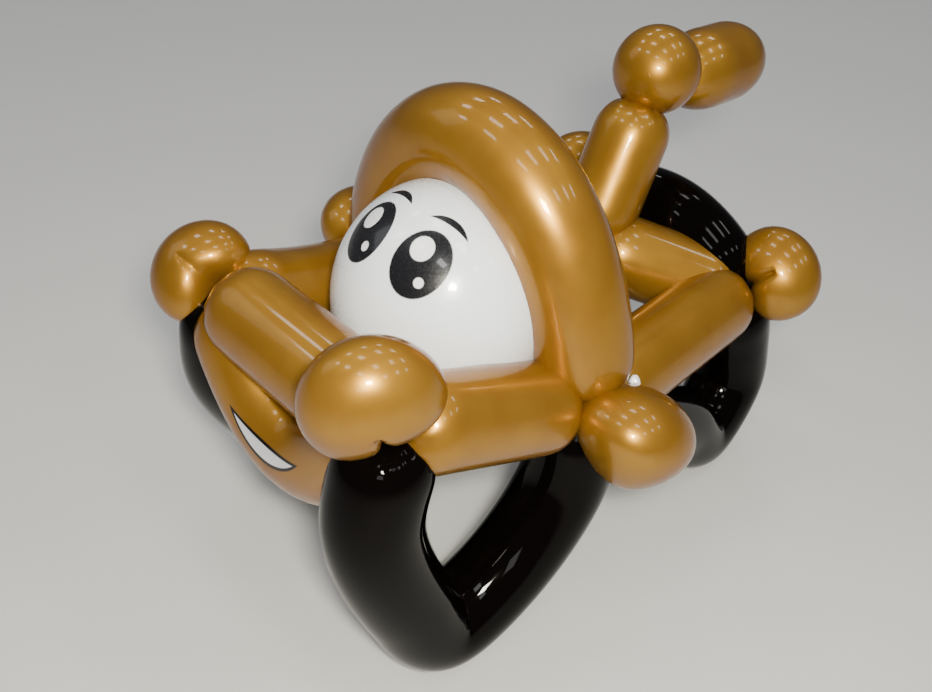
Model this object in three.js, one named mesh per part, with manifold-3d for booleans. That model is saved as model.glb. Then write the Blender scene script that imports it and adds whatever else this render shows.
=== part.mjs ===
// A toy truck twisted from five balloons, in millimetres, +Z up, front towards -Y, +X on the right-hand
// side of someone who looks at it from the front along +Y.
// Three gold long balloons make the bonnet and cab, the load bed and the boom. A black long balloon makes
// the four wheel loops and the tail, and a round white balloon is squeezed in as the windscreen.
// The bubbles are laid out on the deck: X across, Y to the back and Z off the deck, from the middle of the
// bonnet bubble. The whole truck is then pitched nose up, so that it stands on its four wheel loops.
import * as THREE from "three";
import { mergeVertices } from "three/addons/utils/BufferGeometryUtils.js";
import Module from "manifold-3d";

const wasm = await Module();
wasm.setup();

// Driving dimensions.
const TUBE_RADIUS = 25; // a long balloon, inflated
const NOSE_UP = THREE.MathUtils.degToRad(13); // deck's pitch when it stands
const RIDE_HEIGHT = 181; // front corners above the ground
const CONTACT_FLAT = 3.8; // how far a wheel loop is pressed flat by the ground
const BALLOON_GAP = 0.3; // between two balloons that press on each other

const CORNER = {
  frontRight: [66, 0, 2],
  frontLeft: [-66, 0, 2],
  middleRight: [79, 130, -16],
  middleLeft: [-79, 132, -9],
  rearRight: [64, 289, 9],
  rearLeft: [-64, 289, 9],
  boomFoot: [-6, 220, 24],
};

const BUMPER_SAG = [0, 7, -54]; // below the bonnet bubble
const LEFT_SIDE_SAG = [0, 0, -7]; // pressed down by the corner knob
const ARCH = { radius: 26.5, height: 120, lean: -35, points: 11 }; // cab roof
const FACE = { centre: [3, 86, 19], radii: [61, 58, 64] };
const BOOM = { radius: 23.5, top: [-14, 248, 110] };
const KNUCKLE = { radius: 26.5, pressedIn: 7 }; // the boom and its end press into the ball
const BOOM_END = { radius: 25.5, length: 90, azimuth: 91, elevation: 8, rootElevation: -20 };
const TAIL = { radius: 26.5, rise: [0, -3, 28] };

// Wheel loops: tube radius, how far the two strands bow apart, and where the inside of each fold is.
const FRONT_WHEEL = { radius: 25.5, bow: 16 };
const REAR_WHEEL = { radius: 24.2, bow: 5 };
const FOLD_RADIUS = 1.12; // of the path round a fold, in tube radii
const FOLD_SPREAD = 1.25; // half width of that turn, in fold radii
const FOLD = {
  frontRight: [75, 66],
  frontLeft: [-94, 97],
  rearRight: [70, 291],
  rearLeft: [-70, 291],
};

// Pinch-twist knobs, each a short bubble folded in two: the way it leans out of its corner and the turn of
// its fold about that way (degrees), its half thickness, the fold's half width beyond that, and how far it
// stands off the corner.
const KNOB = {
  frontRight: { azimuth: -94, elevation: 51, turn: 62, thick: 24.5, fold: 8, stand: 2.5 },
  frontLeft: { azimuth: 183, elevation: 5, turn: -50, thick: 21.3, fold: 7.5, stand: 2 },
  middleRight: { azimuth: 4.8, elevation: 2.5, turn: -22, thick: 24.3, fold: 11.2, stand: 4 },
  middleLeft: { azimuth: 188, elevation: 24, turn: 0, thick: 21.6, fold: 11, stand: 2 },
  rearRight: { azimuth: 39, elevation: 42, turn: -120, thick: 21.5, fold: 8.5, stand: 5 },
  rearLeft: { azimuth: 150, elevation: 60, turn: 0, thick: 21, fold: 10, stand: 2 },
};

const NOTCH = { depth: 0.3, width: 0.34 }; // crease between a knob's halves: share of its size, radians
const LOCK_RADIUS = 13; // twisted latex where the bubbles of a rear corner lock together

// Facets.
const SIDES = 12;
const KNOB_FACETS = [14, 8];
const BALL_SIDES = 14;
const LOCK_SIDES = 6;
const FACE_SIDES = 18;
const BEND_ROWS = 4;
const BUMPER_ROWS = 7;
const ARCH_ROWS = 12;
const CAP_ROWS = 4;
const FOLD_ROWS = 11;
const FOLD_CROWDING = 1.5; // draws a loop's rows together at its fold
const CAP_STRETCH = 1.12; // a bubble's end is a little longer than half a ball

const gold = new THREE.MeshStandardMaterial({ color: 0xb07a2c, roughness: 0.22, metalness: 0.35 });
const black = new THREE.MeshStandardMaterial({ color: 0x0a0807, roughness: 0.12, metalness: 0 });
const white = new THREE.MeshStandardMaterial({ color: 0xdfe2ea, roughness: 0.3, metalness: 0 });

const at = (place) => new THREE.Vector3(...place);
const degrees = THREE.MathUtils.degToRad;

/** Unit vector at an azimuth from +X and an elevation, in degrees. */
function heading(azimuth, elevation) {
  const level = Math.cos(degrees(elevation));
  const turn = degrees(azimuth);
  return new THREE.Vector3(level * Math.cos(turn), level * Math.sin(turn), Math.sin(degrees(elevation)));
}

/** Solid of a closed three.js geometry. */
function solid(geometry) {
  geometry.deleteAttribute("normal");
  geometry.deleteAttribute("uv");
  const merged = mergeVertices(geometry, 1e-4);
  const corners = merged.index.array;
  const faces = [];
  for (let first = 0; first < corners.length; first += 3) {
    const [a, b, c] = corners.slice(first, first + 3);
    if (a !== b && b !== c && c !== a) {
      faces.push(a, b, c);
    }
  }
  const mesh = new wasm.Mesh({
    numProp: 3,
    vertProperties: new Float32Array(merged.getAttribute("position").array),
    triVerts: new Uint32Array(faces),
  });
  return new wasm.Manifold(mesh);
}

/** One solid of many that overlap. */
function join(solids) {
  return solids.reduce((whole, next) => whole.add(next));
}

/** Three.js geometry of a solid. */
function geometryOf(shape) {
  const { vertProperties, triVerts } = shape.getMesh();
  const geometry = new THREE.BufferGeometry();
  geometry.setAttribute("position", new THREE.BufferAttribute(vertProperties, 3));
  geometry.setIndex(new THREE.BufferAttribute(triVerts, 1));
  return geometry;
}

/** A bubble along a curve: a turned tube with round ends, bent so that its axis follows the curve. */
function bubble(curve, radius, middleRows, grow, crowding = 1) {
  const length = curve.getLength() + 2 * grow;
  const full = radius + grow;
  const cap = Math.min(full * CAP_STRETCH, length / 2);
  const stations = [];
  for (let row = 0; row <= CAP_ROWS; row += 1) {
    const angle = (Math.PI / 2) * (row / CAP_ROWS);
    stations.push([cap * (1 - Math.cos(angle)), full * Math.sin(angle)]);
  }
  for (let row = 1; row <= middleRows; row += 1) {
    const offset = (2 * row) / (middleRows + 1) - 1;
    const share = (1 + Math.sign(offset) * Math.abs(offset) ** crowding) / 2;
    stations.push([cap + (length - 2 * cap) * share, full]);
  }
  for (let row = CAP_ROWS; row >= 0; row -= 1) {
    const angle = (Math.PI / 2) * (row / CAP_ROWS);
    stations.push([length - cap * (1 - Math.cos(angle)), full * Math.sin(angle)]);
  }
  stations[0][1] = 0;
  stations[stations.length - 1][1] = 0;

  const profile = stations.map(([along, out]) => new THREE.Vector2(out, along));
  const tube = new THREE.LatheGeometry(profile, SIDES);
  const vertices = tube.getAttribute("position");
  const turn = new THREE.Quaternion();
  const before = new THREE.Vector3(0, 1, 0);
  stations.forEach(([along], row) => {
    const share = THREE.MathUtils.clamp((along - grow) / (length - 2 * grow), 0, 1);
    const way = curve.getTangentAt(share);
    turn.premultiply(new THREE.Quaternion().setFromUnitVectors(before, way));
    before.copy(way);
    const centre = curve.getPointAt(share).addScaledVector(way, along - grow - share * (length - 2 * grow));
    for (let side = 0; side <= SIDES; side += 1) {
      const index = side * stations.length + row;
      const ring = new THREE.Vector3(vertices.getX(index), 0, vertices.getZ(index));
      const place = ring.applyQuaternion(turn).add(centre);
      vertices.setXYZ(index, place.x, place.y, place.z);
    }
  });
  return solid(tube);
}

/** Straight run between two corners. */
function straight(from, to) {
  return new THREE.LineCurve3(at(CORNER[from]), at(CORNER[to]));
}

/** Run between two corners that bows by a given step at its middle. */
function bowed(from, to, step) {
  const start = at(CORNER[from]);
  const end = at(CORNER[to]);
  const handle = start.clone().add(end).multiplyScalar(0.5).addScaledVector(at(step), 2);
  return new THREE.QuadraticBezierCurve3(start, handle, end);
}

/** Half ellipse over the cab, from one middle corner to the other, leaning to the front. */
function archCurve() {
  const [halfWidth, back, low] = CORNER.middleRight;
  const points = [];
  for (let step = 0; step < ARCH.points; step += 1) {
    const angle = (Math.PI * step) / (ARCH.points - 1);
    const lift = Math.sin(angle);
    const place = [halfWidth * Math.cos(angle), back + ARCH.lean * lift, low + ARCH.height * lift];
    points.push(at(place));
  }
  return new THREE.CatmullRomCurve3(points);
}

/** Height on the deck's axes of a fold whose loop stands on the ground. */
function foldHeight(back, foldRadius, tubeRadius) {
  const standing = foldRadius + tubeRadius - CONTACT_FLAT - RIDE_HEIGHT;
  return (standing + back * Math.sin(NOSE_UP)) / Math.cos(NOSE_UP);
}

/** A hanging loop: down from one corner, round the fold and up to the next corner. */
function wheelCurve(from, to, name, { radius, bow }) {
  const start = at(CORNER[from]);
  const end = at(CORNER[to]);
  const [across, back] = FOLD[name];
  const foldRadius = radius * FOLD_RADIUS;
  const half = foldRadius * FOLD_SPREAD;
  const fold = new THREE.Vector3(across, back, foldHeight(back, foldRadius, radius));
  const along = end.clone().sub(start).normalize();
  const down = fold.clone().sub(start);
  down.addScaledVector(along, -down.dot(along)).normalize();
  const front = fold.clone().addScaledVector(along, -half);
  const behind = fold.clone().addScaledVector(along, half);
  return new THREE.CatmullRomCurve3([
    start,
    start.clone().lerp(front, 0.5).addScaledVector(along, -bow),
    front,
    fold.clone().addScaledVector(down, foldRadius),
    behind,
    end.clone().lerp(behind, 0.5).addScaledVector(along, bow),
    end,
  ]);
}

/** A folded pinch-twist bubble at a corner, notched where its two halves meet. */
function knob(name, grow) {
  const { azimuth, elevation, turn, thick, fold, stand } = KNOB[name];
  const out = heading(azimuth, elevation);
  const flat = new THREE.Vector3().crossVectors(out, new THREE.Vector3(0, 0, 1)).normalize();
  const across = flat.applyAxisAngle(out, degrees(turn));
  const through = new THREE.Vector3().crossVectors(out, across);
  const reach = 0.925 * thick + 0.71 * fold;
  const centre = at(CORNER[name]).addScaledVector(out, reach + stand);
  const ball = new THREE.SphereGeometry(1, ...KNOB_FACETS);
  const vertices = ball.getAttribute("position");
  for (let index = 0; index < vertices.count; index += 1) {
    const [x, y, z] = [vertices.getX(index), vertices.getY(index), vertices.getZ(index)];
    const aside = Math.atan2(x, -z) / NOTCH.width;
    const size = 1 - NOTCH.depth * Math.exp(-aside * aside) * (1 - y * y);
    vertices.setXYZ(
      index,
      x * size * (thick + fold + grow),
      y * size * (thick + grow),
      z * size * (reach + grow),
    );
  }
  const place = new THREE.Matrix4().makeBasis(across, through, out).setPosition(centre);
  return solid(ball.applyMatrix4(place));
}

/** Ball, or a ball stretched along the deck's axes. */
function ball(centre, radii, sides, grow) {
  const shape = new THREE.SphereGeometry(1, sides, Math.round(sides * 0.65));
  shape.scale(...radii.map((radius) => radius + grow));
  shape.translate(...centre);
  return solid(shape);
}

/** The twist at a rear corner. */
function lock(name, grow) {
  return ball(CORNER[name], [LOCK_RADIUS, LOCK_RADIUS, LOCK_RADIUS], LOCK_SIDES, grow);
}

/** Bonnet, bumper, sides, cab roof and the four knobs round the cab. */
function bodyBalloon(grow) {
  return join([
    bubble(straight("frontLeft", "frontRight"), TUBE_RADIUS, 0, grow),
    bubble(bowed("frontLeft", "frontRight", BUMPER_SAG), TUBE_RADIUS, BUMPER_ROWS, grow),
    bubble(straight("frontRight", "middleRight"), TUBE_RADIUS, 0, grow),
    bubble(bowed("frontLeft", "middleLeft", LEFT_SIDE_SAG), TUBE_RADIUS, BEND_ROWS, grow),
    bubble(archCurve(), ARCH.radius, ARCH_ROWS, grow),
    ...["frontRight", "frontLeft", "middleRight", "middleLeft"].map((name) => knob(name, grow)),
  ]);
}

/** The load bed's sides, the two bubbles to the boom's foot and the rear knobs. */
function bedBalloon(grow) {
  return join([
    bubble(straight("middleRight", "rearRight"), TUBE_RADIUS, 0, grow),
    bubble(straight("middleLeft", "rearLeft"), TUBE_RADIUS, 0, grow),
    bubble(straight("rearRight", "boomFoot"), TUBE_RADIUS, 0, grow),
    bubble(straight("rearLeft", "boomFoot"), TUBE_RADIUS, 0, grow),
    ...["rearRight", "rearLeft"].flatMap((name) => [knob(name, grow), lock(name, grow)]),
  ]);
}

/** Boom, ball and end bubble. */
function boomBalloon(grow) {
  const foot = at(CORNER.boomFoot);
  const top = at(BOOM.top);
  const rise = top.clone().sub(foot).normalize();
  const step = KNUCKLE.radius - KNUCKLE.pressedIn;
  const knuckle = top.clone().addScaledVector(rise, step);
  const back = heading(BOOM_END.azimuth, BOOM_END.elevation);
  const root = knuckle.clone().addScaledVector(heading(BOOM_END.azimuth, BOOM_END.rootElevation), step);
  const tip = root.clone().addScaledVector(back, BOOM_END.length);
  const reach = [KNUCKLE.radius, KNUCKLE.radius, KNUCKLE.radius];
  return join([
    bubble(new THREE.LineCurve3(foot, top), BOOM.radius, 0, grow),
    ball(knuckle.toArray(), reach, BALL_SIDES, grow),
    bubble(new THREE.LineCurve3(root, tip), BOOM_END.radius, 0, grow),
  ]);
}

/** Wheel loops and the tail between the rear corners. */
function wheelBalloon(grow) {
  const loop = (from, to, name, size) =>
    bubble(wheelCurve(from, to, name, size), size.radius, FOLD_ROWS, grow, FOLD_CROWDING);
  return join([
    loop("frontRight", "middleRight", "frontRight", FRONT_WHEEL),
    loop("middleRight", "rearRight", "rearRight", REAR_WHEEL),
    bubble(bowed("rearRight", "rearLeft", TAIL.rise), TAIL.radius, BEND_ROWS, grow),
    loop("middleLeft", "rearLeft", "rearLeft", REAR_WHEEL),
    loop("frontLeft", "middleLeft", "frontLeft", FRONT_WHEEL),
  ]);
}

/** A block whose top is the ground, on the deck's axes. */
function ground() {
  const [width, length, depth] = [600, 1200, 100];
  const block = new THREE.BoxGeometry(width, length, depth);
  block.translate(0, 0, -depth / 2 - RIDE_HEIGHT);
  block.rotateX(NOSE_UP);
  return solid(block);
}

// Balloons were twisted on in this order, so each later one is pressed in by the earlier ones.
const shapes = {
  body_balloon: bodyBalloon(0),
  bed_balloon: bedBalloon(0).subtract(bodyBalloon(BALLOON_GAP)),
};
const chassis = bodyBalloon(BALLOON_GAP).add(bedBalloon(BALLOON_GAP));
shapes.boom_balloon = boomBalloon(0).subtract(chassis);
const allGold = chassis.add(boomBalloon(BALLOON_GAP));
shapes.wheel_balloon = wheelBalloon(0).subtract(allGold).subtract(ground());
const face = ball(FACE.centre, FACE.radii, FACE_SIDES, 0);
shapes.face_balloon = face.subtract(allGold).subtract(wheelBalloon(BALLOON_GAP));

const colours = {
  body_balloon: gold,
  bed_balloon: gold,
  boom_balloon: gold,
  wheel_balloon: black,
  face_balloon: white,
};

const deck = new THREE.Group();
for (const [name, shape] of Object.entries(shapes)) {
  const mesh = new THREE.Mesh(geometryOf(shape), colours[name].clone());
  mesh.name = name;
  deck.add(mesh);
}
deck.rotation.x = -NOSE_UP;

// The origin is on the ground, under the middle of the whole truck's box.
const truck = new THREE.Group();
truck.add(deck);
truck.updateMatrixWorld(true);
const box = new THREE.Box3().setFromObject(truck, true);
const middle = box.getCenter(new THREE.Vector3());
deck.position.set(-middle.x, -middle.y, RIDE_HEIGHT);

export default truck;
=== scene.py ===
"""Toy truck twisted from five balloons: three gold, one black and a round white one.

Metres, +Z up, front towards -Y. Bubbles are laid out in millimetres on the truck's deck, X across,
Y to the back and Z off the deck, and the deck is pitched nose up on the four wheel loops.
"""
import logging
import math
from bisect import bisect_right
from dataclasses import dataclass
from enum import Enum

import bmesh
import bpy
import numpy as np
from mathutils import Matrix, Quaternion, Vector


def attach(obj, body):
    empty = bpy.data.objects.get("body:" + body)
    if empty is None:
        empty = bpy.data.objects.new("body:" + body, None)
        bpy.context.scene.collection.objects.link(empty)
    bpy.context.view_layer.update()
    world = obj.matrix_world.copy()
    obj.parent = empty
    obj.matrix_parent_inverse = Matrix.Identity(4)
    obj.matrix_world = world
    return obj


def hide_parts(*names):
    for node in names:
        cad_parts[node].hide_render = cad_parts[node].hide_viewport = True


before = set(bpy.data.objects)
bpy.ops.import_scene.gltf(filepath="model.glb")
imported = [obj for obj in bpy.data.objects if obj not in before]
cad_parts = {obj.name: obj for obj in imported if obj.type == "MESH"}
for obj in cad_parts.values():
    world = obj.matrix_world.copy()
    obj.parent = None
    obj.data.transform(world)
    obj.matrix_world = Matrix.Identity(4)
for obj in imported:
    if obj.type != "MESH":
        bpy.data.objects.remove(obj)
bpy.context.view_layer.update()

log = logging.getLogger("balloon_truck")

MILLIMETRE = 0.001
Triple = tuple[float, float, float]
Tint = tuple[float, float, float]


class Latex(Enum):
    """Material slots of the record."""

    GOLD = "gold_latex"
    BLACK = "black_latex"
    WHITE = "white_latex"


class Corner(Enum):
    """Places on the deck where bubbles are twisted together."""

    FRONT_RIGHT = (66.0, 0.0, 2.0)
    FRONT_LEFT = (-66.0, 0.0, 2.0)
    MIDDLE_RIGHT = (79.0, 130.0, -16.0)
    MIDDLE_LEFT = (-79.0, 132.0, -9.0)
    REAR_RIGHT = (64.0, 289.0, 9.0)
    REAR_LEFT = (-64.0, 289.0, 9.0)
    BOOM_FOOT = (-6.0, 220.0, 24.0)

    @property
    def place(self) -> Vector:
        """Position on the deck's axes."""
        return Vector(self.value)


@dataclass(frozen=True)
class Deck:
    """The pitched deck that the bubbles are laid out on."""

    pitch: float = 13.0
    shift: Triple = (-5.219, -169.669, 181.0)
    ride_height: float = 181.0

    def matrix(self) -> Matrix:
        """Deck's millimetres to metres on the ground."""
        lift = Matrix.Translation(Vector(self.shift) * MILLIMETRE)
        return lift @ Matrix.Rotation(math.radians(-self.pitch), 4, "X") @ Matrix.Scale(MILLIMETRE, 4)

    def fold_height(self, back: float, fold_radius: float, tube_radius: float, press: float) -> float:
        """Height on the deck of a loop's fold that stands on the ground.

        Args:
            back: the fold's place along the deck.
            fold_radius: radius of the path round the fold.
            tube_radius: radius of the loop's tube.
            press: how far the ground presses the loop flat.

        Returns:
            The fold's height on the deck's axes.
        """
        pitch = math.radians(self.pitch)
        standing = fold_radius + tube_radius - press - self.ride_height
        return (standing + back * math.sin(pitch)) / math.cos(pitch)


DECK = Deck()


def heading(azimuth: float, elevation: float) -> Vector:
    """Unit vector at an azimuth from +X and an elevation, in degrees."""
    turn, rise = math.radians(azimuth), math.radians(elevation)
    return Vector((math.cos(rise) * math.cos(turn), math.cos(rise) * math.sin(turn), math.sin(rise)))


class Path:
    """A bubble's axis, with a frame that turns as little as it can along it."""

    def __init__(self, points: list[Vector]) -> None:
        """Measures the axis.

        Args:
            points: close points along the axis.
        """
        self.points = points
        self.marks = [0.0]
        for first, second in zip(points, points[1:]):
            self.marks.append(self.marks[-1] + (second - first).length)
        self.length = self.marks[-1]
        last = len(points) - 1
        ways = [(points[min(i + 1, last)] - points[max(i - 1, 0)]).normalized() for i in range(last + 1)]
        turn = Vector((0.0, 0.0, 1.0)).rotation_difference(ways[0])
        self.turns = [turn]
        for before, after in zip(ways, ways[1:]):
            turn = before.rotation_difference(after) @ turn
            self.turns.append(turn)

    @classmethod
    def straight(cls, start: Vector, end: Vector) -> "Path":
        """Straight axis between two points."""
        return cls([start.lerp(end, step / 8) for step in range(9)])

    @classmethod
    def bowed(cls, start: Vector, end: Vector, bow: Triple, steps: int = 48) -> "Path":
        """Axis that bows by a given step at its middle.

        Args:
            start: first end.
            end: other end.
            bow: the middle's step away from the straight line.
            steps: how many short runs it is measured in.

        Returns:
            The bowed axis.
        """
        handle = start.lerp(end, 0.5) + Vector(bow) * 2
        shares = [step / steps for step in range(steps + 1)]
        return cls([start.lerp(handle, t).lerp(handle.lerp(end, t), t) for t in shares])

    @classmethod
    def through(cls, knots: list[Vector], steps: int = 14) -> "Path":
        """Smooth axis through given points.

        Args:
            knots: points that the axis passes through.
            steps: short runs between each two of them.

        Returns:
            The axis, a centripetal Catmull-Rom spline.
        """
        ends = [knots[0] * 2 - knots[1], *knots, knots[-1] * 2 - knots[-2]]
        points: list[Vector] = []
        for a, b, c, d in zip(ends, ends[1:], ends[2:], ends[3:]):
            ta, tb = 0.0, (b - a).length ** 0.5
            tc = tb + (c - b).length ** 0.5
            td = tc + (d - c).length ** 0.5
            for step in range(steps):
                t = tb + (tc - tb) * step / steps
                ab = a.lerp(b, (t - ta) / (tb - ta))
                bc = b.lerp(c, (t - tb) / (tc - tb))
                cd = c.lerp(d, (t - tc) / (td - tc))
                before = ab.lerp(bc, (t - ta) / (tc - ta))
                after = bc.lerp(cd, (t - tb) / (td - tb))
                points.append(before.lerp(after, (t - tb) / (tc - tb)))
        points.append(knots[-1])
        return cls(points)

    def trimmed(self, start: float, end: float) -> "Path":
        """Axis with its ends drawn back.

        Args:
            start: length taken off at the start.
            end: length taken off at the end.

        Returns:
            The shorter axis.
        """
        steps = len(self.points) - 1
        span = self.length - start - end
        return Path([self.at(start + span * step / steps)[0] for step in range(steps + 1)])

    def at(self, along: float) -> tuple[Vector, Quaternion]:
        """Place and frame at a distance along the axis.

        Args:
            along: distance from the start, which may run past either end.

        Returns:
            The point, and the turn that takes +Z to the axis.
        """
        spot = min(max(bisect_right(self.marks, along) - 1, 0), len(self.points) - 2)
        run = self.marks[spot + 1] - self.marks[spot]
        share = min(max((along - self.marks[spot]) / run, 0.0), 1.0)
        turn = self.turns[spot].slerp(self.turns[spot + 1], share)
        return self.points[spot].lerp(self.points[spot + 1], share), turn


@dataclass
class Shell:
    """A closed latex shell, made in the deck's millimetres."""

    rows: int = 64
    sides: int = 72

    def ball(self) -> bmesh.types.BMesh:
        """Unit ball that the shell is shaped from."""
        shell = bmesh.new()
        bmesh.ops.create_uvsphere(shell, u_segments=self.sides, v_segments=self.rows, radius=1.0)
        return shell

    def build(self, grow: float) -> bmesh.types.BMesh:
        """Mesh of the shell.

        Args:
            grow: how far its surface is moved out.

        Returns:
            The mesh, closed and facing out.
        """
        raise NotImplementedError


@dataclass
class Bubble(Shell):
    """A length of blown-up tube with round ends, pleated where it is twisted."""

    path: Path = None
    radius: float = 25.0
    cap_stretch: float = 1.02
    cap_power: float = 0.84
    cap_share: float = 0.26
    pleats: int = 11
    pleat_depth: float = 0.16
    pleat_reach: float = 4.5
    crease: float = 0.0
    crease_reach: float = 10.0
    open_end: bool = False

    def profile(self, share: float, grow: float) -> tuple[float, float]:
        """Where a row of the mesh lies.

        Args:
            share: the row's share of the way from the first pole to the last.
            grow: how far the surface is moved out.

        Returns:
            Distance along the axis, and radius there.
        """
        length = self.path.length + 2 * grow
        full = self.radius + grow
        cap = min(full * self.cap_stretch, length / 2)
        rim = min(share, 1 - share)
        if rim < self.cap_share:
            angle = (math.pi / 2) * (rim / self.cap_share)
            along = cap * (1 - max(math.cos(angle), 0.0) ** self.cap_power)
            place = along if share < 0.5 else length - along
            return place - grow, full * math.sin(angle) ** self.cap_power
        offset = 2 * (share - self.cap_share) / (1 - 2 * self.cap_share) - 1
        return cap + (length - 2 * cap) * (1 + offset) / 2 - grow, full

    def build(self, grow: float) -> bmesh.types.BMesh:
        """Mesh of the bubble.

        Args:
            grow: how far its surface is moved out.

        Returns:
            The mesh, closed and facing out.
        """
        shell = self.ball()
        rings: dict[int, tuple[float, float, Vector, Quaternion]] = {}
        length = self.path.length
        for vert in shell.verts:
            row = round(math.acos(max(-1.0, min(1.0, vert.co.z))) / math.pi * self.rows)
            if row not in rings:
                along, out = self.profile(row / self.rows, grow)
                rings[row] = (along, out, *self.path.at(along))
            along, out, centre, turn = rings[row]
            side = math.atan2(vert.co.y, vert.co.x)
            rim = along if self.open_end else min(along, length - along)
            wave = 0.5 + 0.5 * math.cos(self.pleats * side + 0.35 * along)
            out *= 1 - self.pleat_depth * math.exp(-max(rim, 0.0) / self.pleat_reach) * wave
            spot = turn @ Vector((out * math.cos(side), out * math.sin(side), 0.0))
            if self.crease:
                spot += self.fold_crease(along, spot)
            vert.co = centre + spot
        bmesh.ops.recalc_face_normals(shell, faces=shell.faces)
        return shell

    def fold_crease(self, along: float, spot: Vector) -> Vector:
        """Pinches the inside of a fold.

        Args:
            along: distance along the axis.
            spot: point of the shell, from the axis.

        Returns:
            How far the point moves.
        """
        middle = self.path.length / 2
        aside = (along - middle) / self.crease_reach
        inner = (self.path.points[0] + self.path.points[-1]) / 2 - self.path.at(middle)[0]
        facing = max(0.0, spot.normalized().dot(inner.normalized())) ** 2 if spot.length > 0 else 0.0
        return -spot * (self.crease * facing * math.exp(-aside * aside))


@dataclass
class Knob(Shell):
    """A pinch twist: a short bubble folded in two, notched where its halves meet."""

    corner: Corner = Corner.FRONT_RIGHT
    azimuth: float = 0.0
    elevation: float = 0.0
    turn: float = 0.0
    thick: float = 22.0
    fold: float = 10.0
    stand: float = 2.0
    notch_depth: float = 0.3
    notch_width: float = 0.34
    cleft_depth: float = 0.1
    cleft_width: float = 0.07
    cleft_reach: float = 0.75
    lobe: float = 0.05
    taper: float = 0.0
    sag: float = 0.0

    def build(self, grow: float) -> bmesh.types.BMesh:
        """Mesh of the knob.

        Args:
            grow: how far its surface is moved out.

        Returns:
            The mesh, closed and facing out.
        """
        shell = self.ball()
        out = heading(self.azimuth, self.elevation)
        level = out.cross(Vector((0.0, 0.0, 1.0))).normalized()
        across = Quaternion(out, math.radians(self.turn)) @ level
        through = out.cross(across)
        reach = 0.925 * self.thick + 0.71 * self.fold
        centre = self.corner.place + out * (reach + self.stand)
        for vert in shell.verts:
            x, y, z = vert.co.y, vert.co.z, vert.co.x
            aside = math.atan2(x, -z)
            notch = self.notch_depth * math.exp(-((aside / self.notch_width) ** 2)) * (1 - y * y)
            near = math.exp(-((aside / self.cleft_reach) ** 2))
            slit = math.exp(-((x / self.cleft_width) ** 2))
            cleft = self.cleft_depth * near * slit * (0.35 + 0.65 * abs(y))
            swell = self.lobe * math.exp(-(((abs(aside) - 0.85) / 0.45) ** 2)) * (1 - y * y)
            size = 1 - notch - (cleft if z < 0.3 else 0.0) + swell
            low = max(y, 0.0) ** 2
            narrow = (1 - self.taper * z) * (1 - self.sag * low)
            spot = across * (x * size * narrow * (self.thick + self.fold + grow))
            deep = y * size * (1 - self.taper * z / 2) * (1 + self.sag * low)
            spot += through * (deep * (self.thick + grow))
            vert.co = centre + spot + out * (z * size * (reach + grow))
        bmesh.ops.recalc_face_normals(shell, faces=shell.faces)
        return shell


@dataclass
class Round(Shell):
    """A ball of latex, stretched along the deck's axes."""

    centre: Triple = (0.0, 0.0, 0.0)
    radii: Triple = (25.0, 25.0, 25.0)

    def build(self, grow: float) -> bmesh.types.BMesh:
        """Mesh of the ball.

        Args:
            grow: how far its surface is moved out.

        Returns:
            The mesh, closed and facing out.
        """
        shell = self.ball()
        size = Matrix.Diagonal(Vector(radius + grow for radius in self.radii)).to_4x4()
        bmesh.ops.transform(shell, matrix=Matrix.Translation(self.centre) @ size, verts=shell.verts)
        return shell


@dataclass
class Knot(Shell):
    """A balloon's tied mouth: a small turned knot and its rolled lip."""

    place: Triple = (0.0, 0.0, 0.0)
    way: Triple = (0.0, 0.0, 1.0)
    size: float = 3.6

    def build(self, grow: float) -> bmesh.types.BMesh:
        """Mesh of the knot and lip.

        Args:
            grow: how far its surface is moved out.

        Returns:
            The mesh, closed and facing out.
        """
        shell = bmesh.new()
        outline = [
            (0.0, -1.3), (0.55, -1.25), (0.95, -0.85), (1.05, -0.35), (0.8, 0.1), (0.5, 0.4),
            (0.62, 0.85), (0.95, 1.3), (1.22, 1.62), (1.3, 1.85), (1.16, 2.02), (0.98, 1.9),
            (0.7, 1.5), (0.36, 1.2), (0.0, 1.12),
        ]
        size = self.size + grow
        corners = [shell.verts.new((out * size, 0.0, along * size)) for out, along in outline]
        edges = [shell.edges.new(pair) for pair in zip(corners, corners[1:])]
        bmesh.ops.spin(
            shell, geom=corners + edges, cent=(0, 0, 0), axis=(0, 0, 1), dvec=(0, 0, 0),
            angle=math.tau, steps=28, use_merge=True, use_duplicate=False,
        )
        bmesh.ops.remove_doubles(shell, verts=shell.verts, dist=size * 0.01)
        for vert in shell.verts:
            side = math.atan2(vert.co.y, vert.co.x)
            swell = 1 + 0.09 * math.cos(3 * side + vert.co.z * 0.9) + 0.04 * math.cos(8 * side - vert.co.z)
            vert.co = Vector((vert.co.x * swell, vert.co.y * swell, vert.co.z))
        turn = Vector((0.0, 0.0, 1.0)).rotation_difference(Vector(self.way).normalized())
        place = Matrix.Translation(self.place) @ turn.to_matrix().to_4x4()
        bmesh.ops.transform(shell, matrix=place, verts=shell.verts)
        bmesh.ops.recalc_face_normals(shell, faces=shell.faces)
        return shell


class Joining(Enum):
    """What two solids make together."""

    UNION = "UNION"
    DIFFERENCE = "DIFFERENCE"


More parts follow.
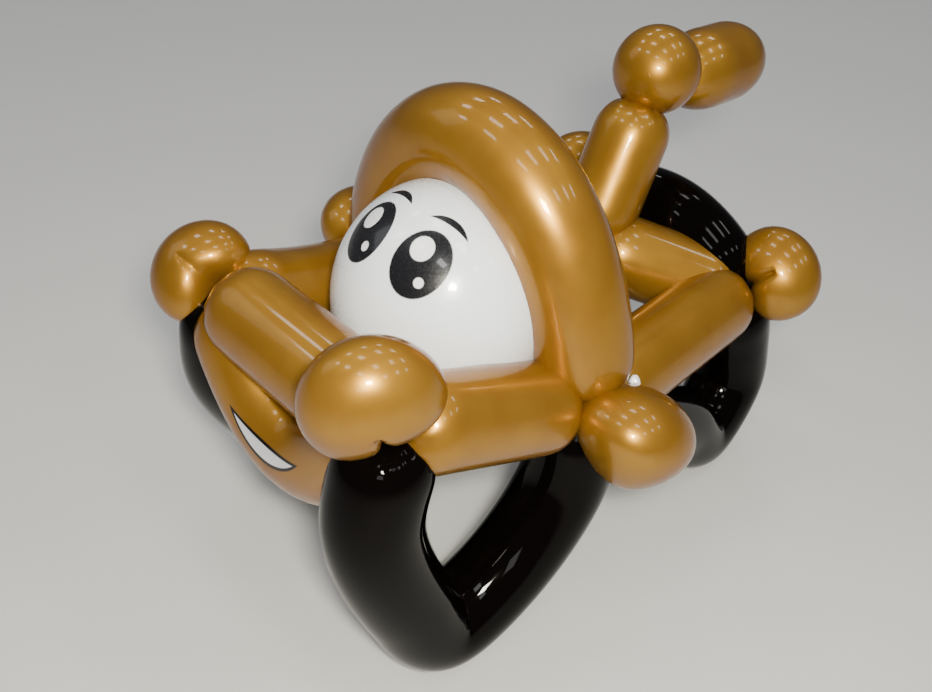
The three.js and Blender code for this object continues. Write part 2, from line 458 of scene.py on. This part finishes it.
@dataclass
class Twister:
    """Joins a balloon's shells, and is meant to cut it back from the balloons twisted on before it.

    Known fault: some shells face inwards when they get here, so joins and cuts come out wrong and the
    balloons overlap inside the corners.
    """

    gap: float = 0.3
    crease_angle: float = 24.0
    pinch_reach: float = 0.010
    crumb_share: float = 0.002
    earlier: bpy.types.Object | None = None

    def solid(self, shells: list[Shell], grow: float) -> bpy.types.Object:
        """One solid of overlapping shells.

        Args:
            shells: the shells.
            grow: how far their surfaces are moved out, in millimetres.

        Returns:
            The solid, in metres on the ground.
        """
        whole: bpy.types.Object | None = None
        for part in shells:
            shell = part.build(grow)
            bmesh.ops.transform(shell, matrix=DECK.matrix(), verts=shell.verts)
            mesh = bpy.data.meshes.new("shell")
            shell.to_mesh(mesh)
            shell.free()
            piece = bpy.data.objects.new("shell", mesh)
            bpy.context.scene.collection.objects.link(piece)
            whole = self.combine(whole, piece, Joining.UNION) if whole else piece
        return whole

    @staticmethod
    def combine(first: bpy.types.Object, second: bpy.types.Object, joining: Joining) -> bpy.types.Object:
        """Joins or cuts the first solid with the second.

        Args:
            first: solid that is kept and changed.
            second: solid that is used up.
            joining: what they make.

        Returns:
            The first solid, with its new mesh.
        """
        cut = first.modifiers.new("cut", "BOOLEAN")
        cut.object = second
        cut.operation = joining.value
        cut.solver = "MANIFOLD"
        graph = bpy.context.evaluated_depsgraph_get()
        mesh = bpy.data.meshes.new_from_object(first.evaluated_get(graph), depsgraph=graph)
        first.modifiers.clear()
        old = first.data
        first.data = mesh
        bpy.data.meshes.remove(old)
        if joining is Joining.UNION:
            used = second.data
            bpy.data.objects.remove(second)
            bpy.data.meshes.remove(used)
        return first

    def twist(self, shells: list[Shell]) -> bpy.types.Object:
        """Makes a balloon of its shells.

        Args:
            shells: the balloon's shells.

        Returns:
            The balloon. The cut from the earlier ones is faulty, as the class says.
        """
        balloon = self.solid(shells, 0.0)
        if self.earlier:
            balloon = self.combine(balloon, self.earlier, Joining.DIFFERENCE)
        self.sweep_crumbs(balloon.data)
        grown = self.solid(shells, self.gap)
        self.earlier = self.combine(self.earlier, grown, Joining.UNION) if self.earlier else grown
        self.earlier.hide_render = True
        return balloon

    def sweep_crumbs(self, mesh: bpy.types.Mesh) -> None:
        """Deletes the crumbs that cutting leaves between bubbles."""
        shell = bmesh.new()
        shell.from_mesh(mesh)
        bmesh.ops.remove_doubles(shell, verts=shell.verts, dist=2e-6)
        left = set(shell.faces)
        crumbs: list[bmesh.types.BMFace] = []
        fewest = len(left) * self.crumb_share
        while left:
            island, edge = set(), [left.pop()]
            while edge:
                face = edge.pop()
                island.add(face)
                for near in (other for side in face.edges for other in side.link_faces):
                    if near in left:
                        left.discard(near)
                        edge.append(near)
            if len(island) < fewest:
                crumbs.extend(island)
        bmesh.ops.delete(shell, geom=crumbs, context="FACES")
        shell.to_mesh(mesh)
        shell.free()

    def smooth(self, mesh: bpy.types.Mesh) -> None:
        """Shades a balloon smooth but for its creases, and marks how near each point is to a twist."""
        mesh.polygons.foreach_set("use_smooth", np.ones(len(mesh.polygons), bool))
        mesh.set_sharp_from_angle(angle=math.radians(self.crease_angle))
        places = np.empty(len(mesh.vertices) * 3, np.float32)
        mesh.vertices.foreach_get("co", places)
        places = places.reshape(-1, 3)
        pinch = np.zeros(len(places), np.float32)
        for corner in Corner:
            away = places - np.array(DECK.matrix() @ corner.place, np.float32)
            pinch = np.maximum(pinch, np.exp(-np.linalg.norm(away, axis=1) / self.pinch_reach))
        mesh.attributes.new("pinch", "FLOAT", "POINT").data.foreach_set("value", pinch)

    def clear(self) -> None:
        """Removes what was kept of the earlier balloons."""
        bpy.data.objects.remove(self.earlier)
        self.earlier = None


class Graph:
    """Short ways to add nodes to a material."""

    def __init__(self, name: str) -> None:
        """Starts a node material with its shader.

        Args:
            name: the material's name.
        """
        self.material = bpy.data.materials.new(name)
        self.material.use_nodes = True
        self.tree = self.material.node_tree
        self.shader = self.tree.nodes["Principled BSDF"]

    def add(self, kind: str, **settings: object) -> bpy.types.Node:
        """New node with its properties set."""
        node = self.tree.nodes.new(kind)
        for name, value in settings.items():
            setattr(node, name, value)
        return node

    def feed(self, socket: bpy.types.NodeSocket, value: object) -> None:
        """Links a socket to another, or sets its value.

        Args:
            socket: input to fill.
            value: an output socket, a number or a vector.
        """
        if isinstance(value, bpy.types.NodeSocket):
            self.tree.links.new(value, socket)
        else:
            socket.default_value = value

    def math(self, operation: str, *values: object) -> bpy.types.NodeSocket:
        """Result of a Math node."""
        node = self.add("ShaderNodeMath", operation=operation)
        for socket, value in zip(node.inputs, values):
            self.feed(socket, value)
        return node.outputs[0]

    def dot(self, place: bpy.types.NodeSocket, centre: Vector, axis: Vector) -> bpy.types.NodeSocket:
        """How far a place lies from a centre along an axis."""
        away = self.add("ShaderNodeVectorMath", operation="SUBTRACT")
        self.feed(away.inputs[0], place)
        self.feed(away.inputs[1], centre)
        node = self.add("ShaderNodeVectorMath", operation="DOT_PRODUCT")
        self.feed(node.inputs[0], away.outputs[0])
        self.feed(node.inputs[1], axis)
        return node.outputs["Value"]

    def ramp(
        self, value: object, start: float, end: float, low: float = 0.0, high: float = 1.0
    ) -> bpy.types.NodeSocket:
        """Value mapped smoothly from one range to another."""
        node = self.add("ShaderNodeMapRange", interpolation_type="SMOOTHSTEP")
        for socket, number in zip(node.inputs, (value, start, end, low, high)):
            self.feed(socket, number)
        return node.outputs["Result"]

    def mix(self, share: object, first: object, second: object) -> bpy.types.NodeSocket:
        """Mix of two colours."""
        node = self.add("ShaderNodeMix", data_type="RGBA")
        self.feed(node.inputs["Factor"], share)
        self.feed(node.inputs[6], first)
        self.feed(node.inputs[7], second)
        return node.outputs[2]

    def noise(self, scale: float, detail: float = 2.0) -> bpy.types.NodeSocket:
        """Noise on the object's own coordinates."""
        node = self.add("ShaderNodeTexNoise")
        self.feed(node.inputs["Vector"], self.place())
        self.feed(node.inputs["Scale"], scale)
        self.feed(node.inputs["Detail"], detail)
        return node.outputs["Fac"]

    def place(self) -> bpy.types.NodeSocket:
        """Object coordinates."""
        return self.add("ShaderNodeTexCoord").outputs["Object"]

    def pinch(self) -> bpy.types.NodeSocket:
        """How near a point is to a twist, from 0 to 1."""
        return self.add("ShaderNodeAttribute", attribute_name="pinch").outputs["Fac"]

    def bump(self, height: bpy.types.NodeSocket, strength: float, distance: float) -> None:
        """Raises the surface by a height."""
        node = self.add("ShaderNodeBump")
        node.inputs["Strength"].default_value = strength
        node.inputs["Distance"].default_value = distance
        self.feed(node.inputs["Height"], height)
        self.feed(self.shader.inputs["Normal"], node.outputs["Normal"])


@dataclass(frozen=True)
class Spot:
    """Where a mark is drawn: a centre on the deck, and the way that the drawing faces."""

    centre: Triple
    azimuth: float
    elevation: float
    lean: float = 0.0

    def axes(self) -> tuple[Vector, Vector, Vector, Vector]:
        """Centre, and the drawing's right, up and outward ways, on the ground's axes in metres."""
        out = heading(self.azimuth, self.elevation)
        right = Vector((0.0, 0.0, 1.0)).cross(out).normalized()
        right = Quaternion(out, math.radians(self.lean)) @ right
        matrix = DECK.matrix()
        turn = matrix.to_3x3().normalized()
        return matrix @ Vector(self.centre), turn @ right, turn @ out.cross(right), turn @ out


@dataclass(frozen=True)
class Disc:
    """A filled oval, in millimetres."""

    across: float
    upright: float
    aside: float = 0.0
    above: float = 0.0

    def mask(self, graph: Graph, x: bpy.types.NodeSocket, y: bpy.types.NodeSocket) -> bpy.types.NodeSocket:
        """Where the oval covers the surface.

        Args:
            graph: material to add nodes to.
            x: distance to the drawing's right, in millimetres.
            y: distance up the drawing, in millimetres.

        Returns:
            1 inside the oval and 0 outside.
        """
        wide = graph.math("DIVIDE", graph.math("SUBTRACT", x, self.aside), self.across)
        tall = graph.math("DIVIDE", graph.math("SUBTRACT", y, self.above), self.upright)
        square = graph.math("ADD", graph.math("MULTIPLY", wide, wide), graph.math("MULTIPLY", tall, tall))
        soft = 0.35 / min(self.across, self.upright)
        return graph.ramp(graph.math("SQRT", square), 1 + soft, 1 - soft)


@dataclass(frozen=True)
class Stroke:
    """A tapered pen stroke along part of a circle, in millimetres and degrees."""

    radius: float
    width: float
    half_angle: float
    above: float
    aside: float = 0.0
    hanging: bool = False

    def mask(self, graph: Graph, x: bpy.types.NodeSocket, y: bpy.types.NodeSocket) -> bpy.types.NodeSocket:
        """Where the stroke covers the surface.

        Args:
            graph: material to add nodes to.
            x: distance to the drawing's right, in millimetres.
            y: distance up the drawing, in millimetres.

        Returns:
            1 on the stroke and 0 off it.
        """
        way = -1.0 if self.hanging else 1.0
        wide = graph.math("SUBTRACT", x, self.aside)
        rise = graph.math("MULTIPLY", graph.math("SUBTRACT", y, self.above), way)
        tall = graph.math("ADD", rise, self.radius)
        square = graph.math("ADD", graph.math("MULTIPLY", wide, wide), graph.math("MULTIPLY", tall, tall))
        off = graph.math("ABSOLUTE", graph.math("SUBTRACT", graph.math("SQRT", square), self.radius))
        angle = graph.math("DIVIDE", graph.math("ARCTAN2", wide, tall), math.radians(self.half_angle))
        thinned = graph.math("SUBTRACT", 1.0, graph.math("MULTIPLY", angle, angle))
        pen = graph.math("MULTIPLY", thinned, self.width)
        return graph.ramp(graph.math("SUBTRACT", pen, off), -0.25, 0.25)


@dataclass(frozen=True)
class Drawing:
    """Marks drawn by hand on one spot: what is inked, and what is left white within the ink."""

    spot: Spot
    ink: tuple[Disc | Stroke, ...]
    white: tuple[Disc | Stroke, ...] = ()
    depth: float = 20.0

    def masks(self, graph: Graph) -> tuple[bpy.types.NodeSocket, bpy.types.NodeSocket]:
        """Where ink and where white lie.

        Args:
            graph: material to add nodes to.

        Returns:
            The ink's mask and the white's mask.
        """
        centre, right, upward, out = self.spot.axes()
        place = graph.place()
        x = graph.math("MULTIPLY", graph.dot(place, centre, right), 1 / MILLIMETRE)
        y = graph.math("MULTIPLY", graph.dot(place, centre, upward), 1 / MILLIMETRE)
        facing = graph.math("GREATER_THAN", graph.dot(place, centre, out), -self.depth * MILLIMETRE)
        ink = self.widest(graph, [mark.mask(graph, x, y) for mark in self.ink], facing)
        white = self.widest(graph, [mark.mask(graph, x, y) for mark in self.white], facing)
        return ink, white

    @staticmethod
    def widest(
        graph: Graph, masks: list[bpy.types.NodeSocket], facing: bpy.types.NodeSocket
    ) -> bpy.types.NodeSocket:
        """All the masks together, on the drawing's own side only."""
        whole: object = 0.0
        for mask in masks:
            whole = graph.math("MAXIMUM", whole, mask)
        return graph.math("MULTIPLY", whole, facing)


@dataclass(frozen=True)
class MarkerInk:
    """Marker pen on latex."""

    ink: Tint = (0.006, 0.006, 0.008)
    white: Tint = (0.82, 0.83, 0.88)

    def draw(
        self, graph: Graph, colour: bpy.types.NodeSocket, drawings: tuple[Drawing, ...]
    ) -> bpy.types.NodeSocket:
        """Draws on a colour.

        Args:
            graph: material to add nodes to.
            colour: the latex's colour.
            drawings: what is drawn.

        Returns:
            The colour with the drawings on it.
        """
        for drawing in drawings:
            ink, white = drawing.masks(graph)
            colour = graph.mix(ink, colour, (*self.ink, 1.0))
            colour = graph.mix(white, colour, (*self.white, 1.0))
        return colour


@dataclass(frozen=True)
class PearlLatex:
    """Metallic pearl latex, blown up tight."""

    name: str = "pearl_gold_latex"
    tight: Tint = (0.315, 0.160, 0.020)
    slack: Tint = (0.18, 0.066, 0.009)
    edge: Tint = (0.34, 0.13, 0.025)
    metallic: float = 0.6
    roughness: float = 0.36
    drawings: tuple[Drawing, ...] = ()

    def material(self) -> bpy.types.Material:
        """Node material of the finish."""
        graph = Graph(self.name)
        clouds = graph.ramp(graph.noise(34.0, 3.0), 0.3, 0.72)
        cloudy = graph.math("MULTIPLY", clouds, 0.3)
        share = graph.math("MINIMUM", graph.math("ADD", cloudy, graph.pinch()), 1.0)
        colour = graph.mix(share, (*self.tight, 1.0), (*self.slack, 1.0))
        colour = MarkerInk().draw(graph, colour, self.drawings)
        shader = graph.shader
        graph.feed(shader.inputs["Base Color"], colour)
        haze = graph.noise(60.0, 2.0)
        rough = graph.ramp(haze, 0.3, 0.7, self.roughness - 0.03, self.roughness + 0.04)
        graph.feed(shader.inputs["Roughness"], rough)
        shader.inputs["Metallic"].default_value = self.metallic
        shader.inputs["Specular Tint"].default_value = (*self.edge, 1.0)
        shader.inputs["Coat Weight"].default_value = 0.85
        shader.inputs["Coat Roughness"].default_value = 0.07
        shader.inputs["Coat IOR"].default_value = 1.33
        graph.bump(graph.noise(90.0, 2.0), 0.01, 0.0002)
        return graph.material


@dataclass(frozen=True)
class DeepLatex:
    """Plain latex, blown up tight, so dark that only its gloss shows."""

    name: str = "gloss_black_latex"
    tight: Tint = (0.0016, 0.0011, 0.0010)
    slack: Tint = (0.0010, 0.0008, 0.0008)

    def material(self) -> bpy.types.Material:
        """Node material of the finish."""
        graph = Graph(self.name)
        colour = graph.mix(graph.pinch(), (*self.tight, 1.0), (*self.slack, 1.0))
        shader = graph.shader
        graph.feed(shader.inputs["Base Color"], colour)
        graph.feed(shader.inputs["Roughness"], graph.ramp(graph.noise(60.0), 0.3, 0.7, 0.04, 0.08))
        shader.inputs["IOR"].default_value = 1.17
        graph.bump(graph.noise(90.0), 0.01, 0.0002)
        return graph.material


@dataclass(frozen=True)
class MilkyLatex:
    """White latex, blown up tight, with marker drawings."""

    name: str = "milky_white_latex"
    tight: Tint = (0.82, 0.87, 0.95)
    slack: Tint = (0.86, 0.86, 0.88)
    drawings: tuple[Drawing, ...] = ()

    def material(self) -> bpy.types.Material:
        """Node material of the finish."""
        graph = Graph(self.name)
        clouds = graph.ramp(graph.noise(26.0, 2.0), 0.3, 0.75)
        share = graph.math("MAXIMUM", graph.math("MULTIPLY", clouds, 0.35), graph.pinch())
        colour = graph.mix(share, (*self.tight, 1.0), (*self.slack, 1.0))
        colour = MarkerInk().draw(graph, colour, self.drawings)
        shader = graph.shader
        graph.feed(shader.inputs["Base Color"], colour)
        graph.feed(shader.inputs["Roughness"], graph.ramp(graph.noise(900.0, 1.0), 0.3, 0.7, 0.24, 0.31))
        shader.inputs["Subsurface Weight"].default_value = 0.12
        shader.inputs["Subsurface Radius"].default_value = (0.9, 0.95, 1.0)
        shader.inputs["Subsurface Scale"].default_value = 0.004
        shader.inputs["Coat Weight"].default_value = 0.6
        shader.inputs["Coat Roughness"].default_value = 0.06
        graph.bump(graph.noise(90.0), 0.01, 0.0002)
        return graph.material


@dataclass
class Balloon:
    """One balloon: the shells it is twisted into, and how it is dressed."""

    name: str
    node: str
    latex: Latex

    def shells(self) -> list[Shell]:
        """The balloon's shells, in the order they are twisted."""
        return []

    def finish(self) -> bpy.types.Material:
        """The balloon's material."""
        raise NotImplementedError

    def build(self, twister: Twister) -> bpy.types.Object:
        """Twists the balloon and dresses it.

        Args:
            twister: what joins its shells and presses it against the earlier balloons.

        Returns:
            The finished object, which stands for the balloon's node.
        """
        piece = twister.twist(self.shells())
        piece.name = self.name
        piece.data.name = self.name
        self.settle(piece.data)
        twister.smooth(piece.data)
        piece.data.materials.clear()
        piece.data.materials.append(self.finish())
        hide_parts(self.node)
        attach(piece, "root")
        log.info("%s: %d faces", self.name, len(piece.data.polygons))
        return piece

    def settle(self, mesh: bpy.types.Mesh) -> None:
        """Lets the balloon rest on what it stands on."""


@dataclass
class CabBalloon(Balloon):
    """Gold balloon round the cab: bonnet, bumper, sides, roof arch and four corner knobs."""

    name: str = "gold_balloon_cab"
    node: str = "body_balloon"
    latex: Latex = Latex.GOLD
    radius: float = 25.0
    bumper_sag: Triple = (0.0, 7.0, -54.0)
    left_sag: Triple = (0.0, 0.0, -7.0)
    arch_radius: float = 26.5
    arch_height: float = 120.0
    arch_lean: float = -35.0
    side_gap: float = 14.0
    arch_gap: float = 9.0
    neck: float = 5.0
    neck_hold: float = 8.0

    def arch(self) -> Path:
        """Half ellipse over the cab, leaning to the front."""
        half, back, low = Corner.MIDDLE_RIGHT.value
        knots = []
        for step in range(11):
            angle = math.pi * step / 10
            lift = math.sin(angle)
            across, height = half * math.cos(angle), low + self.arch_height * lift
            knots.append(Vector((across, back + self.arch_lean * lift, height)))
        return Path.through(knots)

    def shells(self) -> list[Shell]:
        """Cab's shells, in the order they are twisted."""
        left, right = Corner.FRONT_LEFT.place, Corner.FRONT_RIGHT.place
        back_left, back_right = Corner.MIDDLE_LEFT.place, Corner.MIDDLE_RIGHT.place
        side, arch = Path.straight(right, back_right), self.arch()
        side_neck = side.trimmed(side.length - self.side_gap - self.neck_hold, 0.0)
        arch_neck = arch.trimmed(0.0, arch.length - self.arch_gap - self.neck_hold)
        roof = arch.trimmed(self.arch_gap, 0.0)
        return [
            Bubble(path=Path.straight(left, right), radius=self.radius),
            Bubble(path=Path.bowed(left, right, self.bumper_sag), radius=self.radius, rows=80),
            Bubble(path=side.trimmed(0.0, self.side_gap), radius=self.radius),
            Bubble(path=side_neck, radius=self.neck),
            Bubble(path=Path.bowed(left, back_left, self.left_sag), radius=self.radius),
            Bubble(path=roof, radius=self.arch_radius, rows=110, cap_share=0.14),
            Bubble(path=arch_neck, radius=self.neck),
            Knob(
                corner=Corner.FRONT_RIGHT, azimuth=-94, elevation=51, turn=62, thick=24.5, fold=8,
                notch_depth=0.42, notch_width=0.22, lobe=0.11, taper=0.1, stand=2.5,
            ),
            Knob(
                corner=Corner.FRONT_LEFT, azimuth=183, elevation=5, turn=-50, thick=21.3, fold=7.5,
                notch_depth=0.3, notch_width=0.4, cleft_depth=0.03, lobe=0.06, taper=0.08,
            ),
            Knob(
                corner=Corner.MIDDLE_RIGHT, azimuth=4.8, elevation=2.5, turn=-22, thick=24.3, fold=11.2,
                notch_depth=0.25, notch_width=0.22, lobe=0.1, taper=-0.1, stand=4.5, sag=0.24,
            ),
            Knob(corner=Corner.MIDDLE_LEFT, azimuth=188, elevation=24, turn=0, thick=21.6, fold=11),
        ]

    def finish(self) -> bpy.types.Material:
        """Pearl gold, with a smile drawn on the bumper."""
        smile = Drawing(
            spot=Spot(centre=(0.0, -18.0, -40.0), azimuth=-90.0, elevation=24.0),
            ink=(Stroke(radius=48.0, width=5.2, half_angle=37.0, above=-8.0, hanging=True),),
            white=(Stroke(radius=48.0, width=3.4, half_angle=31.0, above=-8.0, hanging=True),),
        )
        return PearlLatex(name="pearl_gold_latex_cab", drawings=(smile,)).material()


@dataclass
class BedBalloon(Balloon):
    """Gold balloon round the load bed: two sides, two bubbles to the boom's foot and two knobs."""

    name: str = "gold_balloon_bed"
    node: str = "bed_balloon"
    latex: Latex = Latex.GOLD
    radius: float = 25.0

    def shells(self) -> list[Shell]:
        """Bed's shells, in the order they are twisted."""
        runs = [
            (Corner.MIDDLE_RIGHT, Corner.REAR_RIGHT),
            (Corner.MIDDLE_LEFT, Corner.REAR_LEFT),
            (Corner.REAR_RIGHT, Corner.BOOM_FOOT),
            (Corner.REAR_LEFT, Corner.BOOM_FOOT),
        ]
        paths = [Path.straight(first.place, last.place) for first, last in runs]
        return [
            *(Bubble(path=path, radius=self.radius) for path in paths),
            Knob(
                corner=Corner.REAR_RIGHT, azimuth=39, elevation=42, turn=-120, thick=21.5, fold=8.5,
                notch_width=0.42, stand=5.0, cleft_depth=0.15, cleft_reach=1.1, cleft_width=0.085,
            ),
            Knob(corner=Corner.REAR_LEFT, azimuth=150, elevation=60, turn=0, thick=21, fold=10),
        ]

    def finish(self) -> bpy.types.Material:
        """Pearl gold."""
        return PearlLatex(name="pearl_gold_latex_bed").material()


@dataclass
class BoomBalloon(Balloon):
    """Gold balloon of the boom: the boom, a ball at its top and an end bubble."""

    name: str = "gold_balloon_boom"
    node: str = "boom_balloon"
    latex: Latex = Latex.GOLD
    radius: float = 23.5
    top: Triple = (-14.0, 248.0, 110.0)
    ball_radius: float = 26.5
    pressed_in: float = 7.0
    end_radius: float = 25.5
    end_length: float = 90.0
    end_azimuth: float = 91.0
    end_elevation: float = 8.0
    root_elevation: float = -20.0

    def shells(self) -> list[Shell]:
        """Boom's shells, from its foot up."""
        foot, top = Corner.BOOM_FOOT.place, Vector(self.top)
        step = self.ball_radius - self.pressed_in
        ball = top + (top - foot).normalized() * step
        back = heading(self.end_azimuth, self.end_elevation)
        root = ball + heading(self.end_azimuth, self.root_elevation) * step
        end = Path.straight(root, root + back * self.end_length)
        return [
            Bubble(path=Path.straight(foot, top), radius=self.radius),
            Round(centre=tuple(ball), radii=(self.ball_radius,) * 3),
            Bubble(path=end, radius=self.end_radius, cap_stretch=1.35, cap_power=1.0, open_end=True),
        ]

    def finish(self) -> bpy.types.Material:
        """Pearl gold."""
        return PearlLatex(name="pearl_gold_latex_boom").material()


@dataclass
class WheelBalloon(Balloon):
    """Black balloon: a chain of four folded wheel loops, with the tail bubble across the back."""

    name: str = "black_balloon_wheels"
    node: str = "wheel_balloon"
    latex: Latex = Latex.BLACK
    front_radius: float = 25.5
    front_bow: float = 16.0
    rear_radius: float = 24.2
    rear_bow: float = 5.0
    fold_radius: float = 1.12
    fold_spread: float = 1.25
    press_flat: float = 3.8
    tail_radius: float = 26.5
    tail_rise: Triple = (0.0, -3.0, 28.0)

    def loop(self, start: Corner, end: Corner, fold: tuple[float, float], front: bool) -> Bubble:
        """A loop that hangs from two corners and stands on its fold.

        Args:
            start: corner it comes down from.
            end: corner it goes up to.
            fold: how far across and back the fold is.
            front: whether it is a front wheel.

        Returns:
            The loop's bubble.
        """
        radius, bow = (self.front_radius, self.front_bow) if front else (self.rear_radius, self.rear_bow)
        turn = radius * self.fold_radius
        half = turn * self.fold_spread
        low = Vector((*fold, DECK.fold_height(fold[1], turn, radius, self.press_flat)))
        along = (end.place - start.place).normalized()
        down = low - start.place
        down = (down - along * down.dot(along)).normalized()
        before, behind = low - along * half, low + along * half
        knots = [
            start.place,
            start.place.lerp(before, 0.5) - along * bow,
            before,
            low + down * turn,
            behind,
            end.place.lerp(behind, 0.5) + along * bow,
            end.place,
        ]
        return Bubble(path=Path.through(knots), radius=radius, rows=150, cap_share=0.1, crease=0.12)

    def shells(self) -> list[Shell]:
        """Wheels' shells, in the order they are twisted."""
        rear_right, rear_left = Corner.REAR_RIGHT, Corner.REAR_LEFT
        tail = Path.bowed(rear_right.place, rear_left.place, self.tail_rise)
        return [
            self.loop(Corner.FRONT_RIGHT, Corner.MIDDLE_RIGHT, (75.0, 66.0), True),
            self.loop(Corner.MIDDLE_RIGHT, rear_right, (70.0, 291.0), False),
            Bubble(path=tail, radius=self.tail_radius, rows=72),
            self.loop(Corner.MIDDLE_LEFT, rear_left, (-70.0, 291.0), False),
            self.loop(Corner.FRONT_LEFT, Corner.MIDDLE_LEFT, (-94.0, 97.0), True),
        ]

    def settle(self, mesh: bpy.types.Mesh) -> None:
        """Presses the loops flat on the ground."""
        for vert in mesh.vertices:
            vert.co.z = max(vert.co.z, 0.0)

    def finish(self) -> bpy.types.Material:
        """Glossy black."""
        return DeepLatex().material()


@dataclass
class FaceBalloon(Balloon):
    """Round white balloon squeezed into the cab, with two eyes drawn on it."""

    name: str = "white_balloon_face"
    node: str = "face_balloon"
    latex: Latex = Latex.WHITE
    centre: Triple = (3.0, 86.0, 19.0)
    radii: Triple = (61.0, 58.0, 64.0)
    knot: Triple = (99.0, 140.0, 7.0)
    eye_azimuth: float = 23.0
    eye_elevation: float = 36.0
    eye_lean: float = 14.0

    def shells(self) -> list[Shell]:
        """The one bubble."""
        return [
            Round(centre=self.centre, radii=self.radii, rows=120, sides=128),
            Knot(place=self.knot, way=(-0.35, 0.75, -0.5), size=2.4),
        ]

    def eye(self, side: float) -> Drawing:
        """One eye and its brow.

        Args:
            side: -1 on the left of the drawing and 1 on the right.

        Returns:
            The drawing.
        """
        azimuth = -90.0 + side * self.eye_azimuth
        way = heading(azimuth, self.eye_elevation)
        centre = Vector(self.centre) + Vector(way[axis] * self.radii[axis] for axis in range(3))
        return Drawing(
            spot=Spot(tuple(centre), azimuth, self.eye_elevation, lean=-self.eye_lean * side),
            ink=(
                Disc(across=14.5, upright=18.0),
                Stroke(radius=21.0, width=1.8, half_angle=34.0, above=25.5),
            ),
            white=(
                Disc(across=6.0, upright=6.5, aside=-3.5, above=6.5),
                Disc(across=2.6, upright=2.6, aside=5.0, above=-8.0),
            ),
        )

    def finish(self) -> bpy.types.Material:
        """Milky white with the eyes drawn on."""
        return MilkyLatex(drawings=(self.eye(-1.0), self.eye(1.0))).material()


@dataclass(frozen=True)
class Lamp:
    """A soft area light."""

    name: str
    place: Triple
    target: Triple
    size: tuple[float, float]
    power: float
    tint: Tint = (1.0, 1.0, 1.0)

    def build(self) -> None:
        """Adds the light to the scene."""
        light = bpy.data.lights.new(self.name, "AREA")
        light.shape = "RECTANGLE"
        light.size, light.size_y = self.size
        light.energy = self.power
        light.color = self.tint
        lamp = bpy.data.objects.new(self.name, light)
        lamp.location = self.place
        lamp.rotation_euler = (Vector(self.target) - Vector(self.place)).to_track_quat("-Z", "Y").to_euler()
        bpy.context.scene.collection.objects.link(lamp)


@dataclass
class Studio:
    """Pale floor, soft lights and the camera."""

    floor_size: float = 12.0
    floor_tint: Tint = (0.56, 0.56, 0.56)
    world_tint: Tint = (0.80, 0.82, 0.85)
    world_strength: float = 0.13
    camera_target: Triple = (0.0454, -0.1093, 0.1902)
    camera_azimuth: float = 44.616
    camera_elevation: float = 39.144
    camera_roll: float = 3.352
    camera_distance: float = 0.5135
    camera_lens: float = 40.68

    def floor(self) -> None:
        """Wide pale floor."""
        sheet = bmesh.new()
        bmesh.ops.create_grid(sheet, x_segments=8, y_segments=8, size=self.floor_size / 2)
        mesh = bpy.data.meshes.new("studio_floor")
        sheet.to_mesh(mesh)
        sheet.free()
        graph = Graph("pale_paper")
        shade = graph.ramp(graph.noise(2.0), 0.2, 0.8)
        dull = (*(0.97 * value for value in self.floor_tint), 1.0)
        tone = graph.mix(shade, (*self.floor_tint, 1.0), dull)
        graph.feed(graph.shader.inputs["Base Color"], tone)
        graph.shader.inputs["Roughness"].default_value = 0.7
        mesh.materials.append(graph.material)
        ground = bpy.data.objects.new("studio_floor", mesh)
        bpy.context.scene.collection.objects.link(ground)

    def lights(self) -> None:
        """Soft box by the camera, fill, and a row of small panels overhead."""
        middle = (0.0, -0.02, 0.15)
        near = (0.05, -0.12, 0.15)
        Lamp("key_box", (0.40, -0.40, 0.60), near, (0.08, 0.07), 9.2, (1.0, 0.96, 0.80)).build()
        Lamp("front_box", (1.2, -1.3, 1.2), middle, (0.5, 0.3), 3.5, (1.0, 0.98, 0.94)).build()
        Lamp("left_box", (-1.5, -0.9, 1.3), middle, (0.8, 0.8), 2.0, (0.95, 0.97, 1.0)).build()
        for row in range(4):
            for column in range(4):
                place = (-1.4 + 0.98 * column, -0.95 + 0.84 * row, 1.9)
                target = (place[0], place[1], 0.0)
                Lamp(f"panel_{row}_{column}", place, target, (0.34, 0.2), 2.9).build()

    def world(self) -> None:
        """Even pale surroundings."""
        world = bpy.data.worlds.new("studio_world")
        world.use_nodes = True
        shade = world.node_tree.nodes["Background"]
        shade.inputs["Color"].default_value = (*self.world_tint, 1.0)
        shade.inputs["Strength"].default_value = self.world_strength
        bpy.context.scene.world = world

    def camera(self) -> None:
        """Camera that looks down on the front right corner."""
        turn, rise = math.radians(self.camera_azimuth), math.radians(self.camera_elevation)
        level = math.cos(rise)
        back = Vector((math.sin(turn) * level, -math.cos(turn) * level, math.sin(rise)))
        lens = bpy.data.cameras.new("studio_camera")
        lens.lens = self.camera_lens
        lens.sensor_width = 36.0
        lens.clip_start = 0.01
        camera = bpy.data.objects.new("studio_camera", lens)
        camera.location = Vector(self.camera_target) + back * self.camera_distance
        facing = (-back).to_track_quat("-Z", "Y")
        camera.rotation_euler = (Quaternion(back, math.radians(self.camera_roll)) @ facing).to_euler()
        bpy.context.scene.collection.objects.link(camera)
        bpy.context.scene.camera = camera

    def build(self) -> None:
        """Sets the whole studio."""
        self.floor()
        self.lights()
        self.world()
        self.camera()


def main() -> None:
    """Builds the studio and twists the balloons in order."""
    logging.basicConfig(level=logging.INFO, format="%(name)s: %(message)s")
    Studio().build()
    twister = Twister()
    for balloon in (CabBalloon(), BedBalloon(), BoomBalloon(), WheelBalloon(), FaceBalloon()):
        balloon.build(twister)
    twister.clear()


if __name__ == "__main__":
    main()
